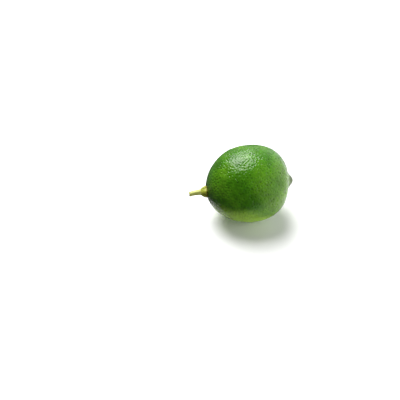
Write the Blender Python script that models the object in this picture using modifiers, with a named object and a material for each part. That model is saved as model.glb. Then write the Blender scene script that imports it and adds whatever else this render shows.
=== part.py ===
"""A small thin-skinned lime with its calyx and a short cut stalk, lying on its side as picked.

Metres, +Z up. The fruit's axis is level and runs along X, with the stem end at -X and the nipple of
the blossom end at +X. The origin is the middle of the small flat spot on which the fruit rests."""

import math

import bpy
from mathutils import Matrix, Vector

# Fruit
FRUIT_WIDTH = 0.0417  # across the widest section, cheeks apart
FRUIT_LENGTH = 0.0448  # from the stem end to the shoulder round the nipple
SHOULDER = (0.06, 0.08, 0.09)  # fullness added by the first, second and third power along the axis
STEM_END_DROP = 0.0020  # how far the stem end lies off the middle of the widest section
BLOSSOM_END_DROP = 0.0003  # the same for the blossom end
DROP_SIDE = math.radians(42)  # the side to which both ends droop, from straight down towards -Y
CHEEK_SIDE = (0.87, 0.25, 0.43)  # towards the fuller cheek, above and behind the blossom end
CHEEK_HEIGHT = 0.0013  # how far the fuller cheek stands out
CHEEK_HOLLOW = 0.0007  # how far the side opposite it falls short
CHEEK_REACH = math.radians(70)  # measured from the middle of the fruit
FACET_COUNT = 5  # faint flats round the fruit
FACET_DEPTH = 0.00012
FLAT_SPOT_DEPTH = 0.00038  # how much of the round underside the flat spot takes off

# Nipple of the blossom end
NIPPLE_WIDTH = 0.0108  # across the foot of its slope
NIPPLE_HEIGHT = 0.0026
FURROW_WIDTH = 0.0040  # the shallow ring round the nipple's foot
FURROW_DEPTH = 0.00025

# Dimple of the stem end, and the calyx in it
SEAT_DEPTH = 0.0004
SEAT_MARGIN = 0.0015  # how far the dimple spreads past the sepals
CALYX_WIDTH = 0.0062  # across the tips of the sepals
CALYX_HEIGHT = 0.0033  # from the underside to the stalk
SEPAL_COUNT = 5
SEPAL_THICKNESS = 0.0012
SEPAL_NOTCH = 0.0004  # how far the notches between sepals come in
CUP_MARGIN = 0.0003  # how far the sepals spread past the foot of the cup
CUP_BULGE = 0.28  # how far the side of the cup bulges, as a share of how much it narrows
NECK_MARGIN = 0.0002  # how far the top of the cup stands out past the stalk

# Stalk
STALK_WIDTH = 0.0026  # at the cut end
STALK_TAPER = 0.15  # how much wider it is at the calyx, as a share
STALK_LENGTH = 0.0052
STALK_DIP = 0.0008  # how far the cut end bends down

CLEARANCE = 0.0003  # between neighbouring pieces
MERGE = 0.00005  # merge distance at the poles of turned shapes

# Fineness of the meshes
FRUIT_STEPS = 60
BODY_STATIONS = 34
NIPPLE_STATIONS = 8
CALYX_STEPS = 40
CURVE_STATIONS = 5
SHARP_EDGE = math.radians(35)


def collection(name):
    made = bpy.data.collections.new(name)
    bpy.context.scene.collection.children.link(made)
    return made


def material(name, colour, roughness, subsurface=0.0):
    made = bpy.data.materials.new(name)
    made.use_nodes = True
    surface = made.node_tree.nodes["Principled BSDF"]
    surface.inputs["Base Color"].default_value = (*colour, 1.0)
    surface.inputs["Roughness"].default_value = roughness
    surface.inputs["Metallic"].default_value = 0.0
    surface.inputs["Subsurface Weight"].default_value = subsurface
    made.diffuse_color = (*colour, 1.0)
    return made


def bell(distance, reach):
    """1 at distance 0, falling smoothly to 0 at the reach and staying there."""
    return 0.5 + 0.5 * math.cos(math.pi * min(distance / reach, 1.0))


def fullness(turn):
    """Radius of the body at a turn of 0 at the stem end to pi at the blossom end, before scaling."""
    u = -math.cos(turn)
    return math.sin(turn) * (1.0 + sum(share * u ** (power + 1) for power, share in enumerate(SHOULDER)))


def body_scale():
    """What turns fullness into metres, so that the widest section has its full width."""
    samples = 400
    return 0.5 * FRUIT_WIDTH / max(fullness(math.pi * step / samples) for step in range(samples))


def skin_point(turn, scale):
    """(radius, place along the axis) of the skin at a turn, with the dimple, the nipple and its furrow."""
    radius = scale * fullness(turn)
    along = -0.5 * FRUIT_LENGTH * math.cos(turn)
    if along < 0.0:
        return radius, along + SEAT_DEPTH * bell(radius, 0.5 * CALYX_WIDTH + SEAT_MARGIN)
    furrow_radius = 0.5 * NIPPLE_WIDTH + 0.25 * FURROW_WIDTH
    along += NIPPLE_HEIGHT * bell(radius, 0.5 * NIPPLE_WIDTH)
    along -= FURROW_DEPTH * bell(abs(radius - furrow_radius), 0.5 * FURROW_WIDTH)
    return radius, along


def fruit_profile():
    """The outline from the nipple, at the top, down to the stem end, with finer steps on the nipple."""
    scale = body_scale()
    nipple = NIPPLE_WIDTH / FRUIT_WIDTH
    body = math.pi - nipple
    turns = [math.pi - nipple * step / NIPPLE_STATIONS for step in range(NIPPLE_STATIONS)]
    turns += [body * (1.0 - step / BODY_STATIONS) for step in range(BODY_STATIONS + 1)]
    return [skin_point(turn, scale) for turn in turns]


def droop(along):
    """Where the section at a place along the axis lies, off the middle of the widest section."""
    u = max(-1.0, min(1.0, along / (0.5 * FRUIT_LENGTH)))
    even = 0.5 * (BLOSSOM_END_DROP + STEM_END_DROP)
    odd = 0.5 * (BLOSSOM_END_DROP - STEM_END_DROP)
    return (even + odd * u) * u * u * Vector((0.0, -math.sin(DROP_SIDE), -math.cos(DROP_SIDE)))


def cheek(place):
    """How far a point of the turned body moves out for the fuller cheek, or in for the side opposite it."""
    towards = Vector((place.x / FRUIT_LENGTH, place.y / FRUIT_WIDTH, place.z / FRUIT_WIDTH)).normalized()
    angle = towards.angle(Vector(CHEEK_SIDE))
    height = CHEEK_HEIGHT * bell(angle, CHEEK_REACH) - CHEEK_HOLLOW * bell(math.pi - angle, CHEEK_REACH)
    return height * towards


def shaped(place):
    """Where a point of the turned body ends up, with the faint flats, the cheeks and the drooping ends."""
    widest = 0.5 * FRUIT_WIDTH
    around = math.atan2(place.z, place.y)
    outward = math.hypot(place.y, place.z) / widest
    flat = 1.0 - FACET_DEPTH / widest * outward * math.cos(FACET_COUNT * around)
    return Vector((place.x, place.y * flat, place.z * flat)) + cheek(place) + droop(place.x)


def seat_level():
    """The furthest place towards the stem that the skin reaches under the calyx."""
    scale = body_scale()
    near_stem = [skin_point(0.5 * math.pi * step / 200, scale) for step in range(200)]
    covered = [(radius, along) for radius, along in near_stem if radius <= 0.5 * CALYX_WIDTH]
    sides = [2.0 * math.pi * step / CALYX_STEPS for step in range(CALYX_STEPS)]
    return min(shaped(Vector((along, radius * math.cos(side), radius * math.sin(side)))).x
               for radius, along in covered for side in sides)


def turned(name, profile, steps, home):
    """A closed body turned about its own Z, from a profile that runs down its outer side."""
    line = bpy.data.meshes.new(name + "_profile")
    edges = [(index, index + 1) for index in range(len(profile) - 1)]
    line.from_pydata([(radius, 0.0, height) for radius, height in profile], edges, [])
    piece = bpy.data.objects.new(name, line)
    home.objects.link(piece)
    screw = piece.modifiers.new("turn", "SCREW")
    screw.axis = "Z"
    screw.steps = steps
    screw.render_steps = steps
    screw.use_merge_vertices = True
    screw.merge_threshold = MERGE
    graph = bpy.context.evaluated_depsgraph_get()
    solid = bpy.data.meshes.new_from_object(piece.evaluated_get(graph))
    piece.modifiers.clear()
    piece.data = solid
    solid.name = name
    bpy.data.meshes.remove(line)
    return piece


def finish(piece, surface):
    piece.data.materials.clear()
    piece.data.materials.append(surface)
    piece.data.shade_smooth()
    piece.data.set_sharp_from_angle(angle=SHARP_EDGE)


def lime_fruit(home, peel):
    """The body with its ends: turned, laid along X, then given its uneven shape."""
    fruit = turned("lime_fruit", fruit_profile(), FRUIT_STEPS, home)
    fruit.data.transform(Matrix.Rotation(0.5 * math.pi, 4, "Y"))
    for vertex in fruit.data.vertices:
        vertex.co = shaped(vertex.co)
    finish(fruit, peel)
    return fruit


def surface_cutter(fruit, cutters):
    """A block whose top is the surface that the fruit lies on; it cuts the flat spot."""
    lowest = min(vertex.co.z for vertex in fruit.data.vertices)
    bpy.ops.mesh.primitive_cube_add(size=2.0 * FRUIT_LENGTH)
    block = bpy.context.active_object
    for owner in list(block.users_collection):
        owner.objects.unlink(block)
    cutters.objects.link(block)
    block.name = "surface_cutter"
    block.location.z = lowest + FLAT_SPOT_DEPTH - FRUIT_LENGTH
    block.hide_render = True
    block.display_type = "WIRE"
    cut = fruit.modifiers.new("flat_spot", "BOOLEAN")
    cut.operation = "DIFFERENCE"
    cut.solver = "EXACT"
    cut.object = block
    return block


def flat_spot_middle(fruit, block):
    """The middle of the cut face, before the fruit is moved to its place."""
    level = block.location.z + FRUIT_LENGTH
    whole = fruit.evaluated_get(bpy.context.evaluated_depsgraph_get()).to_mesh()
    rim = [vertex.co for vertex in whole.vertices if abs(vertex.co.z - level) < MERGE]
    middle = [0.5 * (min(axis) + max(axis)) for axis in zip(*rim)]
    return Vector((middle[0], middle[1], level))


def calyx_profile():
    """The outline from the stalk down the cup, round the sepals and back along the underside."""
    rim = 0.5 * CALYX_WIDTH
    edge = 0.5 * SEPAL_THICKNESS
    foot = rim - CUP_MARGIN
    neck = 0.5 * STALK_WIDTH * (1.0 + STALK_TAPER) + NECK_MARGIN
    rise = CALYX_HEIGHT - SEPAL_THICKNESS
    points = [(0.0, CALYX_HEIGHT)]
    for step in range(CURVE_STATIONS + 1):
        share = step / CURVE_STATIONS
        wider = share + CUP_BULGE * math.sin(math.pi * share)
        points.append((neck + (foot - neck) * wider, CALYX_HEIGHT - rise * share))
    for step in range(CURVE_STATIONS + 1):
        turn = math.pi * (0.5 - step / CURVE_STATIONS)
        points.append((rim - edge + edge * math.cos(turn), edge + edge * math.sin(turn)))
    points.append((0.0, 0.0))
    return points


def calyx(home, husk, seat):
    """A disc of sepals, notched between them, and the cup above it that narrows to the stalk."""
    button = turned("calyx", calyx_profile(), CALYX_STEPS, home)
    rim = 0.5 * CALYX_WIDTH
    for vertex in button.data.vertices:
        place = vertex.co
        around = math.atan2(place.y, place.x)
        outward = math.hypot(place.x, place.y) / rim
        notch = SEPAL_NOTCH / rim * outward * (0.5 - 0.5 * math.cos(SEPAL_COUNT * around))
        vertex.co = (place.x * (1.0 - notch), place.y * (1.0 - notch), place.z)
    button.data.transform(Matrix.Rotation(-0.5 * math.pi, 4, "Y"))
    button.location = seat
    finish(button, husk)
    return button


def stem(home, husk, start):
    """The cut stalk: a tube that narrows and dips a little towards its cut end."""
    path = bpy.data.curves.new("stem", "CURVE")
    path.dimensions = "3D"
    path.bevel_depth = 0.5 * STALK_WIDTH
    path.bevel_resolution = 4
    path.use_fill_caps = True
    path.materials.append(husk)
    line = path.splines.new("POLY")
    line.points.add(CURVE_STATIONS - 1)
    for index, point in enumerate(line.points):
        along = index / (CURVE_STATIONS - 1)
        point.co = (-STALK_LENGTH * along, 0.0, -STALK_DIP * along**2, 1.0)
        point.radius = 1.0 + STALK_TAPER * (1.0 - along)
    piece = bpy.data.objects.new("stem", path)
    piece.location = start
    home.objects.link(piece)
    return piece


def main():
    for old in list(bpy.data.objects):
        bpy.data.objects.remove(old, do_unlink=True)
    home = collection("lime")
    cutters = collection("lime_cutters")
    peel = material("lime_peel", (0.060, 0.170, 0.014), 0.32, subsurface=0.05)
    husk = material("green_husk", (0.37, 0.41, 0.075), 0.6)

    fruit = lime_fruit(home, peel)
    block = surface_cutter(fruit, cutters)
    seat = Vector((seat_level() - CLEARANCE, 0.0, 0.0)) + droop(-0.5 * FRUIT_LENGTH)
    button = calyx(home, husk, seat)
    stalk = stem(home, husk, seat - Vector((CALYX_HEIGHT + CLEARANCE, 0.0, 0.0)))

    origin = bpy.data.objects.new("lime_origin", None)
    home.objects.link(origin)
    origin.location = -flat_spot_middle(fruit, block)
    for piece in (fruit, button, stalk, block):
        piece.parent = origin


main()
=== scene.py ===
"""The looks of a small dark green lime, picked with its calyx and a stub of stalk, lying on its side.

Metres, +Z up. The fruit lies along X, with its stalk at -X and the nipple of its blossom end at +X,
and rests on a small flat spot at the origin."""

import math

import bpy
import numpy as np
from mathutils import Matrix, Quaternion, Vector, kdtree


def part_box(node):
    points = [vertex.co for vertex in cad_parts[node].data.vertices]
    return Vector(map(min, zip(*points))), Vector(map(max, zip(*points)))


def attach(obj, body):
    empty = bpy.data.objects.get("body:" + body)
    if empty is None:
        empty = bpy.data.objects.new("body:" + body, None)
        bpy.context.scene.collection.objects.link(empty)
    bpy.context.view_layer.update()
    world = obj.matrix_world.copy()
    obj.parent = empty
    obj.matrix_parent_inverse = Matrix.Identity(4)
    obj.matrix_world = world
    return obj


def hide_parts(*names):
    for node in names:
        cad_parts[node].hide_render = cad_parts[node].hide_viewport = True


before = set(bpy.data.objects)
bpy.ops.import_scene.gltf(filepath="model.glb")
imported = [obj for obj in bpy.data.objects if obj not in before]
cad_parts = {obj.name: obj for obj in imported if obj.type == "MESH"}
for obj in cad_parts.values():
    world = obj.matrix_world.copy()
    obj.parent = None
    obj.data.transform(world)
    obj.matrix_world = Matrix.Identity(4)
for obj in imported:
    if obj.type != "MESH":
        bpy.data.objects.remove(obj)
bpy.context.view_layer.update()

MM = 0.001

# The fruit's shape, as in the model it stands for
FRUIT_WIDTH = 41.7 * MM
FRUIT_LENGTH = 44.8 * MM
SHOULDER = (0.06, 0.08, 0.09)
STEM_END_DROP = 2.0 * MM
BLOSSOM_END_DROP = 0.3 * MM
DROP_SIDE = math.radians(42)
CHEEK_SIDE = (0.87, 0.25, 0.43)
CHEEK_HEIGHT = 1.3 * MM
CHEEK_HOLLOW = 0.7 * MM
CHEEK_REACH = math.radians(70)
FACET_COUNT = 5
FACET_DEPTH = 0.12 * MM
NIPPLE_WIDTH = 10.8 * MM
NIPPLE_HEIGHT = 2.6 * MM
FURROW_WIDTH = 4.0 * MM
FURROW_DEPTH = 0.25 * MM
SEAT_DEPTH = 0.4 * MM
SEAT_REACH = 4.5 * MM

# The peel's relief
GRID = 128  # squares along each side of the six patches of the fruit's mesh
GLAND_SPACING = 1.30 * MM  # between neighbouring oil glands, at least; drawn coarse so that they show
GLAND_CANDIDATES = 30000  # random places tried for them, enough to fill the skin
GLAND_RADIUS = 0.73 * MM
GLAND_DEPTH = 0.215 * MM
GLAND_GROWTH = (0.55, 1.2)  # the least and most that a gland is grown, as a share of the radius
GLAND_HOLLOW = (0.6, 1.2)  # the same for its depth, on top of its growth
PEBBLE_LENGTH = 1.5 * MM  # wavelength of the skin's fine unevenness between the glands
PEBBLE_HEIGHT = 0.040 * MM
SWELL_LENGTH = 9.0 * MM  # wavelength of the slow unevenness
SWELL_HEIGHT = 0.07 * MM
PLEAT_COUNT = 9  # shallow pleats that fan out from the calyx
PLEAT_DEPTH = 0.10 * MM
PLEAT_REACH = 9.0 * MM
SCAR_RADIUS = 0.9 * MM  # where the flower's style broke off, on the nipple's tip
SCAR_DEPTH = 0.30 * MM
GROOVE_COUNT = 7  # faint grooves down the nipple
GROOVE_DEPTH = 0.10 * MM
GROOVE_RADIUS = 2.4 * MM  # where they are deepest
GROOVE_REACH = 2.0 * MM
SMOOTH_TIP = 3.0 * MM  # no glands nearer than about this to the nipple's tip
SMOOTH_SEAT = 4.0 * MM  # or to the calyx's middle

# The peel's painted layers
PALE_SIDE = (-0.32, -0.56, -0.77)  # the side that lay on the ground while it grew, paler there; it is painted paler still with painted bounce light from below
PALE_FROM = 0.55
PALE_SPAN = 0.40
# Towards this side the skin is painted yellower and lighter: partly its own tone, partly painted light
# standing in for more light from +X.
TONE_AND_LIGHT_SIDE = (0.87, -0.40, -0.28)
TONE_AND_LIGHT_FROM = 0.15
TONE_AND_LIGHT_SPAN = 0.75
# The fruit's stem end is painted darker within this reach: partly its own deeper green, partly painted shade.
STEM_END_SHADE_REACH = 14.0 * MM
CAP_RADIUS = 5.8 * MM  # the dull cap on the nipple, darkened partly as painted shade
CAP_FADE = 2.6 * MM
STYLE_SCAR_REACH = 1.6 * MM

# The calyx and the stalk
SEPALS = 5
CALYX_RADIUS = 3.0 * MM
STALK_RADIUS = 1.30 * MM
STALK_TAPER = 0.15  # how much wider it is at the calyx
STALK_DIP = 0.8 * MM
STALK_RIBS = 6
SOFTEN_LEVELS = 2  # rounds of smoothing on both

# The stage: how pale the floor and walls look, and where the light off them is cut
FLOOR_REACH = 0.45
FLOOR_SEEN = (0.95, 0.95, 0.95, 1.0)
FLOOR_OPEN = (0.85, 0.85, 0.85, 1.0)
FLOOR_SHADED = (0.03, 0.03, 0.03, 1.0)
WEDGE_APEX = 37.0 * MM  # how far from the origin, on the stalk's side, the bright wedge of floor starts
WALLS_SEEN = (0.51, 0.51, 0.51, 1.0)
WALLS_OPEN = (1.0, 1.0, 1.0, 1.0)
WALLS_SHADED = (0.02, 0.02, 0.02, 1.0)
WALLS_STRENGTH = 1.9


def bell(distance, reach):
    """1 at distance 0, falling smoothly to 0 at the reach and staying there."""
    return 0.5 + 0.5 * np.cos(np.pi * np.minimum(distance / reach, 1.0))


def waves(points, wavelength, seed, count=14):
    """Smooth unevenness between about -1 and 1, as a sum of plane waves in random directions."""
    rng = np.random.default_rng(seed)
    total = np.zeros(len(points))
    for _ in range(count):
        direction = rng.normal(size=3)
        direction *= 2.0 * np.pi / wavelength / np.linalg.norm(direction) * rng.uniform(0.6, 1.4)
        total += np.sin(points @ direction + rng.uniform(0.0, 2.0 * np.pi))
    return total * math.sqrt(2.0 / count) * 0.6


def fullness(turn):
    u = -np.cos(turn)
    return np.sin(turn) * (1.0 + sum(share * u ** (power + 1) for power, share in enumerate(SHOULDER)))


def droop(along):
    """How far the axis lies off the middle of the widest section, as rows of x, y and z."""
    u = np.clip(along / (0.5 * FRUIT_LENGTH), -1.0, 1.0)
    even = 0.5 * (BLOSSOM_END_DROP + STEM_END_DROP)
    odd = 0.5 * (BLOSSOM_END_DROP - STEM_END_DROP)
    side = np.array((0.0, -math.sin(DROP_SIDE), -math.cos(DROP_SIDE)))
    return ((even + odd * u) * u * u)[:, None] * side


def cheeks(points):
    """How far points of the turned body move for the fuller cheek and the flatter side opposite it."""
    towards = points / np.array((FRUIT_LENGTH, FRUIT_WIDTH, FRUIT_WIDTH))
    towards /= np.linalg.norm(towards, axis=1)[:, None]
    side = np.array(CHEEK_SIDE) / np.linalg.norm(CHEEK_SIDE)
    angle = np.arccos(np.clip(towards @ side, -1.0, 1.0))
    height = CHEEK_HEIGHT * bell(angle, CHEEK_REACH) - CHEEK_HOLLOW * bell(np.pi - angle, CHEEK_REACH)
    return height[:, None] * towards


def skin(directions):
    """Points of the fruit's smooth skin for unit directions, and their distance from its axis."""
    turn = np.arccos(np.clip(-directions[:, 0], -1.0, 1.0))
    around = np.arctan2(directions[:, 2], directions[:, 1])
    samples = np.linspace(0.0, np.pi, 401)
    radius = 0.5 * FRUIT_WIDTH / fullness(samples).max() * fullness(turn)
    along = -0.5 * FRUIT_LENGTH * np.cos(turn)
    stem_end = along < 0.0
    furrow = 0.5 * NIPPLE_WIDTH + 0.25 * FURROW_WIDTH
    dimple = SEAT_DEPTH * bell(radius, SEAT_REACH)
    nipple = NIPPLE_HEIGHT * bell(radius, 0.5 * NIPPLE_WIDTH)
    nipple -= FURROW_DEPTH * bell(np.abs(radius - furrow), 0.5 * FURROW_WIDTH)
    along = along + np.where(stem_end, dimple, nipple)
    outward = radius / (0.5 * FRUIT_WIDTH)
    facet = 1.0 - FACET_DEPTH / (0.5 * FRUIT_WIDTH) * outward * np.cos(FACET_COUNT * around)
    turned = np.stack((along, radius * np.cos(around), radius * np.sin(around)), axis=-1)
    points = turned * np.stack((np.ones_like(facet), facet, facet), axis=-1)
    return points + cheeks(turned) + droop(along), radius


def sphere_patches(count):
    """Unit directions and quads of a sphere made of six square patches with even angles."""
    steps = np.tan(np.linspace(-0.25 * np.pi, 0.25 * np.pi, count + 1))
    a, b = np.meshgrid(steps, steps, indexing="ij")
    index = np.arange((count + 1) ** 2).reshape(count + 1, count + 1)
    square = np.stack((index[:-1, :-1], index[1:, :-1], index[1:, 1:], index[:-1, 1:]), axis=-1)
    points, quads = [], []
    for axis in range(3):
        for side in (-1.0, 1.0):
            patch = np.empty((*a.shape, 3))
            patch[..., axis] = side
            patch[..., (axis + 1) % 3] = a
            patch[..., (axis + 2) % 3] = b
            quad = square.reshape(-1, 4) + len(quads) * index.size
            quads.append(quad if side > 0.0 else quad[:, ::-1])
            points.append(patch.reshape(-1, 3))
    points = np.concatenate(points)
    points /= np.linalg.norm(points, axis=1)[:, None]
    _, first, same = np.unique(np.round(points, 7), axis=0, return_index=True, return_inverse=True)
    return points[first], same.reshape(-1)[np.concatenate(quads)]


def mesh_object(name, points, faces):
    mesh = bpy.data.meshes.new(name)
    mesh.from_pydata(points.tolist(), [], faces.tolist() if hasattr(faces, "tolist") else faces)
    mesh.validate()
    mesh.shade_smooth()
    piece = bpy.data.objects.new(name, mesh)
    bpy.context.scene.collection.objects.link(piece)
    return piece


def normals_of(mesh):
    values = np.empty(3 * len(mesh.vertices))
    mesh.vertex_normals.foreach_get("vector", values)
    return values.reshape(-1, 3)


def paint(mesh, name, values):
    """Keeps one number for each vertex, for a material to read."""
    layer = mesh.attributes.new(name, "FLOAT", "POINT")
    layer.data.foreach_set("value", np.ascontiguousarray(values, np.float32))


def gland_places(seed):
    """Oil glands spread over the skin: random places, less those too near an earlier one."""
    rng = np.random.default_rng(seed)
    directions = rng.normal(size=(GLAND_CANDIDATES, 3))
    directions /= np.linalg.norm(directions, axis=1)[:, None]
    points, _ = skin(directions)
    tree = kdtree.KDTree(len(points))
    for number, point in enumerate(points):
        tree.insert(point, number)
    tree.balance()
    alive = np.ones(len(points), bool)
    kept = []
    for number, point in enumerate(points):
        if not alive[number]:
            continue
        kept.append(number)
        for _, near, _ in tree.find_range(point, GLAND_SPACING):
            alive[near] = False
    return points[kept]


def lime_peel_piece():
    """The whole fruit: its skin with oil glands, pleats by the calyx and a scar on the nipple."""
    directions, quads = sphere_patches(GRID)
    points, radius = skin(directions)
    piece = mesh_object("lime_skin", points, quads)
    normals = normals_of(piece.data)
    around = np.arctan2(directions[:, 2], directions[:, 1])

    swell = SWELL_HEIGHT * waves(points, SWELL_LENGTH, seed=3)
    pebbles = PEBBLE_HEIGHT * waves(points, PEBBLE_LENGTH, seed=6, count=24)
    at_stem = (directions[:, 0] < 0.0) * bell(radius, PLEAT_REACH) * (1.0 - bell(radius, 2.0 * MM))
    wander = 0.5 * waves(points, 12.0 * MM, seed=4)
    pleats = -PLEAT_DEPTH * at_stem * (0.5 + 0.5 * np.cos(PLEAT_COUNT * around + 2.0 * wander))
    at_tip = directions[:, 0] > 0.0
    scar = -SCAR_DEPTH * at_tip * bell(radius, SCAR_RADIUS)
    grooves = -GROOVE_DEPTH * at_tip * bell(np.abs(radius - GROOVE_RADIUS), GROOVE_REACH)
    grooves *= np.clip(np.cos(GROOVE_COUNT * around + 3.0 * wander), 0.0, 1.0)

    glands = gland_places(seed=11)
    rng = np.random.default_rng(12)
    grown = rng.uniform(*GLAND_GROWTH, len(glands))
    sizes = GLAND_RADIUS * grown
    depths = GLAND_DEPTH * grown * rng.uniform(*GLAND_HOLLOW, len(glands))
    tree = kdtree.KDTree(len(glands))
    for number, point in enumerate(glands):
        tree.insert(point, number)
    tree.balance()
    pit = np.zeros(len(points))
    mask = np.zeros(len(points))
    for number, point in enumerate(points):
        for _, gland, distance in tree.find_n(point, 2):
            share = distance / sizes[gland]
            if share < 1.0:
                dip = (1.0 - share * share) ** 2
                pit[number] -= depths[gland] * dip
                mask[number] = max(mask[number], dip)

    smooth_end = 1.0 - at_tip * bell(radius, SMOOTH_TIP)
    smooth_end *= 1.0 - (directions[:, 0] < 0.0) * bell(radius, SMOOTH_SEAT)
    height = swell + pleats + scar + grooves + (pit + pebbles) * smooth_end
    points = points + normals * height[:, None]

    box = [np.array(corner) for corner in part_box("lime_fruit")]
    middle = 0.5 * (box[0] + box[1]) - 0.5 * (points.min(0) + points.max(0))
    middle[2] = box[1][2] - points[:, 2].max()
    points += middle
    points[:, 2] = np.maximum(points[:, 2], box[0][2])
    piece.data.vertices.foreach_set("co", points.astype(np.float32).ravel())
    piece.data.update()

    paint(piece.data, "gland", mask * smooth_end)
    # The pale ground spot: partly the skin's own paler colour, partly painted bounce light on the lower
    # front.
    pale_side = np.array(PALE_SIDE)
    pale = normals @ (pale_side / np.linalg.norm(pale_side)) + 0.05 * waves(points, 14.0 * MM, seed=5)
    pale = np.clip((pale - PALE_FROM) / PALE_SPAN, 0.0, 1.0)
    paint(piece.data, "ground_spot_and_bounce_light", pale * pale * (3.0 - 2.0 * pale))
    # Painted light: lighter and yellower towards +X, partly the skin's own tone.
    tone_and_light = normals @ np.array(TONE_AND_LIGHT_SIDE) + 0.15 * waves(points, 16.0 * MM, seed=7)
    paint(piece.data, "yellow_tone_and_painted_light", np.clip((tone_and_light - TONE_AND_LIGHT_FROM) / TONE_AND_LIGHT_SPAN, 0.0, 1.0))
    # Darker stem end: partly the skin's own deeper green, partly painted shade.
    paint(piece.data, "stem_end", (directions[:, 0] < 0.0) * bell(radius, STEM_END_SHADE_REACH))
    # The nipple's dull cap: partly its own corky olive, partly painted shade from the fruit's body.
    cap_share = (CAP_RADIUS - radius * (1.0 + 0.12 * waves(points, 1.8 * MM, seed=8))) / CAP_FADE
    cap_patches = 0.9 + 0.1 * waves(points, 0.9 * MM, seed=9)
    paint(piece.data, "nipple_cap_and_shade", at_tip * np.clip(cap_share, 0.0, 1.0) * cap_patches)
    paint(piece.data, "style_scar", at_tip * bell(radius, STYLE_SCAR_REACH))
    seat = skin(np.array([[-1.0, 0.0, 0.0]]))[0][0] + middle
    return piece, seat


def loft(name, rings):
    """A closed body through rings of points, each an array of the same count of x, y and z."""
    count = len(rings[0])
    points = np.concatenate(rings)
    faces = []
    for ring in range(len(rings) - 1):
        for step in range(count):
            a = ring * count + step
            b = ring * count + (step + 1) % count
            faces.append((a, b, b + count, a + count))
    faces.append(tuple(range(count))[::-1])
    faces.append(tuple(range(len(points) - count, len(points))))
    return mesh_object(name, points, faces)


def soften(piece):
    smooth = piece.modifiers.new("soften", "SUBSURF")
    smooth.levels = SOFTEN_LEVELS
    smooth.render_levels = SOFTEN_LEVELS


def calyx_piece(seat):
    """Five thick sepals pressed to the fruit, round a cup that narrows to the stalk."""
    outline = (  # radius and height in millimetres, and how far the sepals' shape shows
        (0.6, -0.45, 0.0), (2.0, -0.45, 0.4), (2.8, -0.30, 0.9), (3.24, 0.05, 1.0),
        (3.32, 0.50, 1.0), (3.20, 0.95, 1.0), (3.00, 1.40, 1.0), (2.74, 1.85, 0.9),
        (2.46, 2.25, 0.8), (2.18, 2.60, 0.6), (1.92, 2.95, 0.4), (1.66, 3.35, 0.1), (0.5, 3.60, 0.0),
    )
    count = 60
    around = np.linspace(0.0, 2.0 * np.pi, count, endpoint=False)
    lobe = np.abs(np.cos(0.5 * SEPALS * (around + 0.2 * np.sin(around)))) ** 0.55
    uneven = 0.04 * np.sin(around + 0.7) + 0.05 * np.sin(2.0 * around + 2.0) + 0.03 * np.sin(7.0 * around)
    rings, edge = [], []
    for radius, height, shape in outline:
        reach = radius * MM * (1.0 - shape * (0.20 * (1.0 - lobe) - 0.5 * uneven))
        rib = 0.04 * MM * (1.0 - shape) * np.cos(10.0 * around) * (radius > 1.0)
        curl = shape * MM * (0.10 * lobe - 0.18 * (1.0 - lobe)) * (height > 0.0)
        away = height * MM + curl
        reach = reach + rib
        rings.append(np.stack((-away, reach * np.cos(around), -reach * np.sin(around)), axis=-1) + seat)
        browned = np.clip((0.9 - height) / 0.8, 0.0, 1.0) * (radius * MM / CALYX_RADIUS)
        edge.append(np.maximum(browned, 0.9 * shape * (1.0 - lobe) ** 2))
    piece = loft("calyx_button", rings)
    points = np.concatenate(rings)
    lumps = 0.07 * MM * waves(points, 1.6 * MM, seed=21) * np.repeat([r[0] > 1.0 for r in outline], count)
    normals = normals_of(piece.data)
    points = points + normals * lumps[:, None]
    piece.data.vertices.foreach_set("co", points.astype(np.float32).ravel())
    paint(piece.data, "sepal_edge", np.concatenate(edge))
    soften(piece)
    return piece


def stalk_piece(seat):
    """A stub of ribbed green stalk, swollen at the calyx and cut across at the other end."""
    low, high = (np.array(corner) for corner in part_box("stem"))
    start = seat[0] - 3.0 * MM
    length = start - low[0]
    count = 48
    around = np.linspace(0.0, 2.0 * np.pi, count, endpoint=False)
    rings, cut = [], []
    steps = 15
    for step in range(steps + 1):
        along = step / steps
        radius = STALK_RADIUS * (1.0 + STALK_TAPER * (1.0 - along) + 0.04 * math.sin(7.0 * along + 0.5))
        rib = 1.0 + 0.045 * np.cos(STALK_RIBS * around + 1.2 * along) + 0.02 * np.cos(3.0 * around + 1.0)
        reach = radius * rib
        slant = 0.25 * MM * along**6 * np.sin(around)
        x = start - length * along + slant
        free = max(0.0, high[0] - start + length * along) / (high[0] - low[0])
        y = seat[1] + reach * np.cos(around)
        z = seat[2] - STALK_DIP * free**2 - reach * np.sin(around)
        rings.append(np.stack((x, y, z), axis=-1))
        cut.append(np.full(count, max(0.0, 8.0 * along - 7.2)))
    face = rings[-1]
    middle = face.mean(0)
    for share, sink in ((0.90, -0.02), (0.72, 0.06), (0.45, 0.10), (0.20, 0.16)):
        ring = middle + (face - middle) * share
        ring[:, 0] += sink * MM
        rings.append(ring)
        cut.append(np.full(count, 0.8 + 0.2 * (share < 0.8)))
    piece = loft("cut_stalk", rings)
    points = np.concatenate(rings)
    normals = normals_of(piece.data)
    points = points + normals * (0.035 * MM * waves(points, 1.1 * MM, seed=31))[:, None]
    piece.data.vertices.foreach_set("co", points.astype(np.float32).ravel())
    paint(piece.data, "cut_face", np.concatenate(cut))
    soften(piece)
    return piece


def colour(code):
    """A linear colour from an sRGB hex code."""
    channels = [int(code[place:place + 2], 16) / 255.0 for place in (0, 2, 4)]
    linear = [c / 12.92 if c <= 0.04045 else ((c + 0.055) / 1.055) ** 2.4 for c in channels]
    return (*linear, 1.0)


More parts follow.
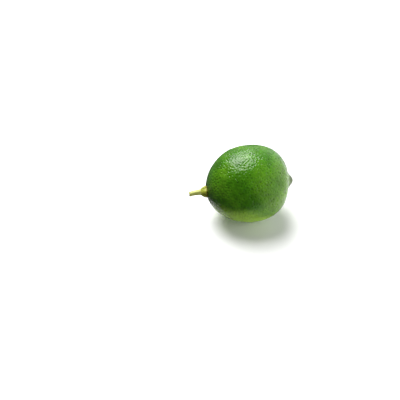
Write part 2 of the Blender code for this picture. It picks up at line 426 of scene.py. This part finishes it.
def add(tree, kind, inputs=None, stops=None, **settings):
    """A node with its settings, its inputs (values or other nodes' outputs) and a ramp's stops."""
    made = tree.nodes.new(kind)
    for name, value in settings.items():
        setattr(made, name, value)
    for socket, value in (inputs or {}).items():
        if isinstance(value, bpy.types.NodeSocket):
            tree.links.new(value, made.inputs[socket])
        else:
            made.inputs[socket].default_value = value
    for number, (place, shade) in enumerate(stops or ()):
        ramp = made.color_ramp.elements
        stop = ramp[number] if number < 2 else ramp.new(place)
        stop.position = place
        stop.color = shade
    return made


def new_material(name):
    made = bpy.data.materials.new(name)
    made.use_nodes = True
    tree = made.node_tree
    tree.nodes.clear()
    return made, tree


def lime_peel():
    """Waxed citrus rind.

    It gives the eye deep green skin with slow, yellower mottling 11 mm across and fine mottling of
    2.6 mm, a paler side that lay on the ground and is painted paler still with painted bounce light, a
    yellower side towards +X that is partly painted light, a darker stem end that is partly painted
    shade, darker oil glands, a dull olive cap on the nipple darkened partly as painted shade, and a
    smooth waxy gloss that the glands break up. A little light spreads under the surface."""
    made, tree = new_material("waxed_lime_peel")
    place = add(tree, "ShaderNodeTexCoord").outputs["Object"]
    broad = add(tree, "ShaderNodeTexNoise", {"Vector": place, "Scale": 1.0 / (11.0 * MM), "Detail": 3.0,
                                             "Roughness": 0.55})
    mottle = add(tree, "ShaderNodeValToRGB", {"Fac": broad.outputs["Fac"]}, stops=(
        (0.30, colour("2e6009")), (0.50, colour("40760f")), (0.72, colour("578a18"))))
    fine = add(tree, "ShaderNodeTexNoise", {"Vector": place, "Scale": 1.0 / (2.6 * MM), "Detail": 4.0,
                                            "Roughness": 0.72})
    speck = add(tree, "ShaderNodeValToRGB", {"Fac": fine.outputs["Fac"]}, stops=(
        (0.34, (0.80, 0.80, 0.80, 1.0)), (0.67, (1.18, 1.18, 1.18, 1.0))))
    # Lighter, yellower green towards +X: partly the skin's tone, partly painted light.
    skin_tone = mixed(tree, mottle.outputs["Color"], "yellow_tone_and_painted_light", colour("6a9618"), 0.72)
    # Pale ground spot: partly its own colour, partly painted bounce light.
    skin_tone = mixed(tree, skin_tone, "ground_spot_and_bounce_light", colour("a2d030"), 0.90)
    skin_tone = add(tree, "ShaderNodeMix", {"Factor": 1.0, "A": skin_tone, "B": speck.outputs["Color"]},
                    data_type="RGBA", blend_type="MULTIPLY").outputs["Result"]
    # Deeper green at the stem end, partly painted shade.
    skin_tone = mixed(tree, skin_tone, "stem_end", colour("24500a"), 0.60)
    # Dull olive cap on the nipple, darkened partly as painted shade.
    skin_tone = mixed(tree, skin_tone, "nipple_cap_and_shade", colour("38401c"), 0.90)
    skin_tone = mixed(tree, skin_tone, "style_scar", colour("493720"), 0.85)
    skin_tone = mixed(tree, skin_tone, "gland", colour("22480c"), 0.22)
    gloss = add(tree, "ShaderNodeMapRange", {"Value": broad.outputs["Fac"], "From Min": 0.3, "From Max": 0.7,
                                             "To Min": 0.14, "To Max": 0.21})
    grain = add(tree, "ShaderNodeTexNoise", {"Vector": place, "Scale": 1.0 / (0.45 * MM), "Detail": 3.0})
    relief = add(tree, "ShaderNodeBump", {"Height": grain.outputs["Fac"], "Distance": 0.08 * MM,
                                          "Strength": 0.8})
    surface = add(tree, "ShaderNodeBsdfPrincipled", {
        "Base Color": skin_tone, "Roughness": gloss.outputs["Result"], "IOR": 1.43,
        "Specular IOR Level": 0.45, "Subsurface Weight": 0.10,
        "Subsurface Radius": (0.4, 1.0, 0.15), "Subsurface Scale": 0.8 * MM,
        "Normal": relief.outputs["Normal"]})
    add(tree, "ShaderNodeOutputMaterial", {"Surface": surface.outputs["BSDF"]})
    return made


def mixed(tree, base, layer, shade, most):
    """The colour so far, turned towards a shade where a painted layer is high."""
    mask = add(tree, "ShaderNodeAttribute", attribute_name=layer).outputs["Fac"]
    amount = add(tree, "ShaderNodeMath", {0: mask, 1: most}, operation="MULTIPLY").outputs[0]
    out = add(tree, "ShaderNodeMix", {"Factor": amount, "A": base, "B": shade}, data_type="RGBA")
    return out.outputs["Result"]


def green_husk(name, layer, edge_shade, most, tones):
    """Plant tissue drying at its edges.

    It gives the eye matt yellow green, uneven over 1.8 mm, brown where it is thin or cut, with a grain
    of 0.25 mm, drawn coarser than plant fibre is so that it shows."""
    made, tree = new_material(name)
    place = add(tree, "ShaderNodeTexCoord").outputs["Object"]
    broad = add(tree, "ShaderNodeTexNoise", {"Vector": place, "Scale": 1.0 / (1.8 * MM), "Detail": 4.0})
    tone = add(tree, "ShaderNodeValToRGB", {"Fac": broad.outputs["Fac"]}, stops=(
        (0.30, colour(tones[0])), (0.50, colour(tones[1])), (0.72, colour(tones[2]))))
    tone = mixed(tree, tone.outputs["Color"], layer, edge_shade, most)
    grain = add(tree, "ShaderNodeTexNoise", {"Vector": place, "Scale": 1.0 / (0.25 * MM), "Detail": 3.0})
    relief = add(tree, "ShaderNodeBump", {"Height": grain.outputs["Fac"], "Distance": 0.05 * MM,
                                          "Strength": 0.8})
    surface = add(tree, "ShaderNodeBsdfPrincipled", {
        "Base Color": tone, "Roughness": 0.55, "IOR": 1.45, "Subsurface Weight": 0.1,
        "Subsurface Radius": (0.6, 1.0, 0.3), "Subsurface Scale": 0.5 * MM,
        "Normal": relief.outputs["Normal"]})
    add(tree, "ShaderNodeOutputMaterial", {"Surface": surface.outputs["BSDF"]})
    return made


def softbox(name, towards, distance, width, height, roll, power):
    """A lamp that faces the origin from a direction, turned about that direction."""
    lamp = bpy.data.lights.new(name, "AREA")
    lamp.shape = "RECTANGLE"
    lamp.size = width
    lamp.size_y = height
    lamp.energy = power
    made = bpy.data.objects.new(name, lamp)
    towards = Vector(towards).normalized()
    made.location = distance * towards
    made.rotation_mode = "QUATERNION"
    turned = Quaternion((0.0, 0.0, 1.0), math.radians(roll))
    made.rotation_quaternion = towards.to_track_quat("Z", "Y") @ turned
    bpy.context.scene.collection.objects.link(made)
    return made


def studio():
    """A pale floor with pale walls all round, lit by a key and a fill softbox.

    The floor and walls are pale to look at. Light that bounces off them finds them dark except towards
    +X, as if other dark fruit lay round about. Only the stage does this, not the fruit's materials."""
    scene = bpy.context.scene
    scene.view_settings.view_transform = "Standard"
    corners = np.array([(-1.0, -1.0, 0.0), (1.0, -1.0, 0.0), (1.0, 1.0, 0.0), (-1.0, 1.0, 0.0)])
    floor = mesh_object("studio_floor", corners * FLOOR_REACH, [(0, 1, 2, 3)])
    made, tree = new_material("white_paper_sweep")
    place = add(tree, "ShaderNodeTexCoord").outputs["Object"]
    for operation, value in (("ADD", (WEDGE_APEX, 0.0, 0.0)), ("NORMALIZE", (0.0, 0.0, 0.0))):
        place = add(tree, "ShaderNodeVectorMath", {0: place, 1: value}, operation=operation).outputs["Vector"]
    open_side = add(tree, "ShaderNodeVectorMath", {0: place, 1: (1.0, 0.0, 0.0)}, operation="DOT_PRODUCT")
    dimmed = add(tree, "ShaderNodeValToRGB", {"Fac": add(tree, "ShaderNodeMapRange", {
        "Value": open_side.outputs["Value"], "From Min": 0.50, "From Max": 0.85}).outputs["Result"]},
        stops=((0.0, FLOOR_SHADED), (1.0, FLOOR_OPEN)))
    seen = add(tree, "ShaderNodeLightPath").outputs["Is Camera Ray"]
    paper = add(tree, "ShaderNodeMix", {"Factor": seen, "A": dimmed.outputs["Color"],
                                        "B": FLOOR_SEEN}, data_type="RGBA")
    surface = add(tree, "ShaderNodeBsdfPrincipled", {"Base Color": paper.outputs["Result"], "Roughness": 0.7})
    add(tree, "ShaderNodeOutputMaterial", {"Surface": surface.outputs["BSDF"]})
    floor.data.materials.append(made)

    world = bpy.data.worlds.new("pale_walls")
    scene.world = world
    world.use_nodes = True
    tree = world.node_tree
    tree.nodes.clear()
    across = add(tree, "ShaderNodeTexCoord").outputs["Generated"]
    dark_side = add(tree, "ShaderNodeVectorMath", {0: across, 1: (-0.80, -0.20, 0.56)},
                    operation="DOT_PRODUCT")
    far = add(tree, "ShaderNodeMapRange", {"Value": dark_side.outputs["Value"], "From Min": -0.95,
                                           "From Max": 0.2})
    walls = add(tree, "ShaderNodeValToRGB", {"Fac": far.outputs["Result"]}, stops=(
        (0.0, WALLS_OPEN), (1.0, WALLS_SHADED)))
    seen = add(tree, "ShaderNodeLightPath").outputs["Is Camera Ray"]
    backdrop = add(tree, "ShaderNodeMix", {"Factor": seen, "A": walls.outputs["Color"],
                                           "B": WALLS_SEEN}, data_type="RGBA")
    light = add(tree, "ShaderNodeBackground", {"Color": backdrop.outputs["Result"],
                                               "Strength": WALLS_STRENGTH})
    add(tree, "ShaderNodeOutputWorld", {"Surface": light.outputs["Background"]})

    softbox("key_softbox", (-0.17, 0.50, 0.85), distance=0.7, width=0.74, height=0.48, roll=70.0,
            power=10.0)
    fill = softbox("fill_softbox", (0.42, -0.80, 0.42), distance=1.0, width=1.0, height=1.0, roll=0.0,
                   power=5.2)
    fill.visible_glossy = False


def camera(azimuth, elevation, distance, lens, middle, right_of_frame, above_frame):
    """Looks down at the fruit, which sits right of the frame's middle and above it by these lengths."""
    a, e = math.radians(azimuth), math.radians(elevation)
    back = Vector((math.sin(a) * math.cos(e), -math.cos(a) * math.cos(e), math.sin(e)))
    right = Vector((math.cos(a), math.sin(a), 0.0))
    up = back.cross(right)
    lens_data = bpy.data.cameras.new("camera")
    lens_data.lens = lens
    lens_data.clip_start = 0.01
    lens_data.clip_end = 20.0
    view = bpy.data.objects.new("camera", lens_data)
    view.rotation_mode = "QUATERNION"
    view.rotation_quaternion = back.to_track_quat("Z", "Y")
    view.location = middle - right_of_frame * right - above_frame * up + distance * back
    bpy.context.scene.collection.objects.link(view)
    bpy.context.scene.camera = view


def main():
    fruit, seat = lime_peel_piece()
    button = calyx_piece(seat)
    stalk = stalk_piece(seat)
    fruit.data.materials.append(lime_peel())
    button.data.materials.append(green_husk(
        "drying_calyx", "sepal_edge", colour("5c4719"), 0.62, ("88901e", "a2aa2e", "bec452")))
    stalk.data.materials.append(green_husk(
        "cut_green_stalk", "cut_face", colour("8a7448"), 0.9, ("9ea444", "babf66", "d2d690")))
    pieces = ((fruit, "lime_fruit", "peel"), (button, "calyx", "husk"), (stalk, "stem", "husk"))
    for piece, node, slot in pieces:
        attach(piece, "root")
        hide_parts(node)
    studio()
    low, high = (Vector(corner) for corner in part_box("lime_fruit"))
    camera(azimuth=-8.5, elevation=42.0, distance=0.60, lens=100.0, middle=0.5 * (low + high),
           right_of_frame=26.8 * MM, above_frame=8.9 * MM)


main()
